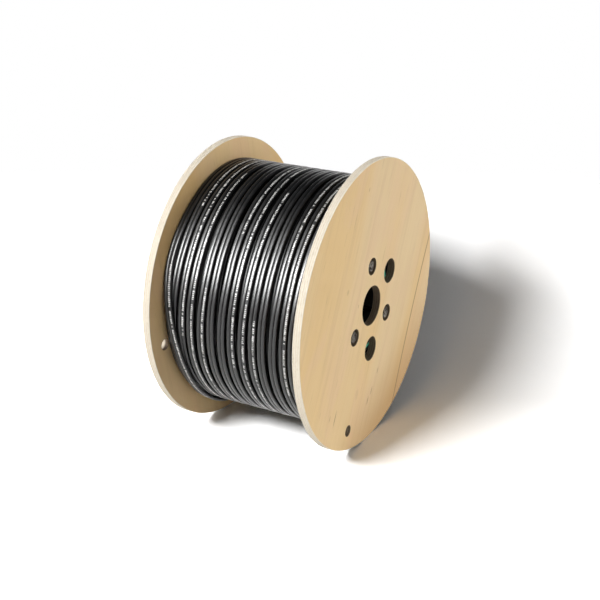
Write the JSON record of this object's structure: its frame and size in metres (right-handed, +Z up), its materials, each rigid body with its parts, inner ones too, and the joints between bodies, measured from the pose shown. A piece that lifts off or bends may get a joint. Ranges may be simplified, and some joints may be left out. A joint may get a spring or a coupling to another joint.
{
  "type": "wooden cable drum",
  "caption": "Plywood cable drum wound full of black flat twin cable, with a spindle bore, drive holes, and tie rods clamping its flanges onto a thin barrel.",
  "frame": {"origin": "centre of the spindle bore, halfway between the flanges", "axes": "+X along the axle line towards the near flange, +Z up, with the drum lying on its two rims"},
  "size_m": [0.22, 0.3799, 0.38],
  "materials": {
    "flange_plywood": "sanded bare plywood",
    "barrel_board": "matt green tube",
    "cable_sheath": "satin black sheath",
    "tie_steel": "dull zinc plating"
  },
  "bodies": {
    "root": {"near_flange": "flange_plywood", "far_flange": "flange_plywood", "barrel": "barrel_board", "cable_winding": "cable_sheath", "tie_rod_1": "tie_steel", "tie_rod_2": "tie_steel", "tie_rod_3": "tie_steel", "near_washer_1": "tie_steel", "near_washer_2": "tie_steel", "near_washer_3": "tie_steel", "far_washer_1": "tie_steel", "far_washer_2": "tie_steel", "far_washer_3": "tie_steel", "near_nut_1": "tie_steel", "near_nut_2": "tie_steel", "near_nut_3": "tie_steel", "far_nut_1": "tie_steel", "far_nut_2": "tie_steel", "far_nut_3": "tie_steel"}
  },
  "joints": []
}
